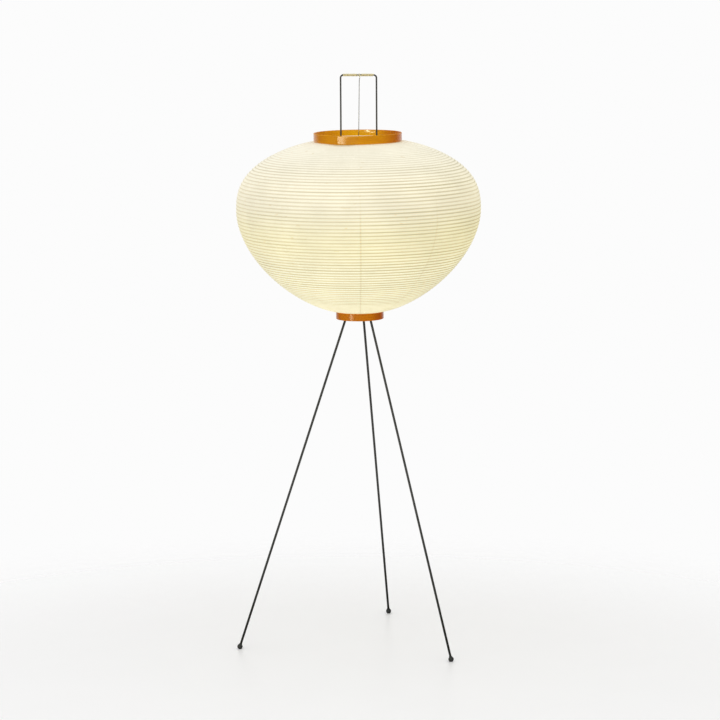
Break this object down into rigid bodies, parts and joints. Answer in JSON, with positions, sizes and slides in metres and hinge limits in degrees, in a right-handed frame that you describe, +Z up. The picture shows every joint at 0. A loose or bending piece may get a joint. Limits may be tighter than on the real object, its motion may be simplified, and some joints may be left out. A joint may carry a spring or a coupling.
{
  "type": "paper lantern floor lamp",
  "caption": "Floor lamp with a ribbed paper lantern on thin black wire legs, bent-wood rings at its ends and a tall wire handle from which it hangs.",
  "frame": {"origin": "on the floor, under the middle of the lamp", "axes": "+Z up, X along the handle bar, -Y towards the front seen in the picture"},
  "size_m": [0.5259, 0.5283, 1.2315],
  "materials": {
    "black_steel": "satin",
    "dark_wire": "satin",
    "zinc_steel": "satin",
    "rubber": "matt",
    "rattan": "satin",
    "brass": "satin",
    "black_plastic": "matt",
    "porcelain": "gloss",
    "bent_wood": "satin varnish",
    "paper": "matt",
    "bamboo": "matt",
    "opal_glass": "opal",
    "cap_metal": "satin",
    "black_glass": "gloss"
  },
  "bodies": {
    "stand": {"hub_plate": "black_steel", "leg_sockets": "black_steel", "socket_screws": "zinc_steel", "leg_left": "black_steel", "leg_right": "black_steel", "leg_back": "black_steel", "foot_left": "rubber", "foot_right": "rubber", "foot_back": "rubber", "handle_frame": "black_steel", "frame_nuts": "zinc_steel", "handle_wrap_left": "rattan", "handle_wrap_right": "rattan", "hanger_hook": "dark_wire", "nipple": "brass", "nipple_nut": "brass", "cord_bush": "black_plastic", "holder_washer": "zinc_steel", "holder_base": "black_plastic", "holder_shell": "black_plastic", "holder_insert": "porcelain", "holder_thread": "brass", "contact_leaf": "brass", "terminal_screws": "brass"},
    "lantern": {"top_ring": "bent_wood", "lower_ring": "bent_wood", "paper_shade": "paper", "bamboo_hoops": "bamboo", "bridge_wire": "dark_wire"},
    "bulb": {"bulb_glass": "opal_glass", "bulb_cap": "cap_metal", "bulb_insulator": "black_glass", "bulb_contact": "cap_metal"}
  },
  "joints": [
    {"name": "lantern_lift", "type": "slide", "parent": "stand", "child": "lantern", "axis": [0, 0, 1], "range_m": [0, 0.55]},
    {"name": "bulb_out", "type": "slide", "parent": "stand", "child": "bulb", "axis": [0, 0, 1], "range_m": [0, 0.08]}
  ]
}
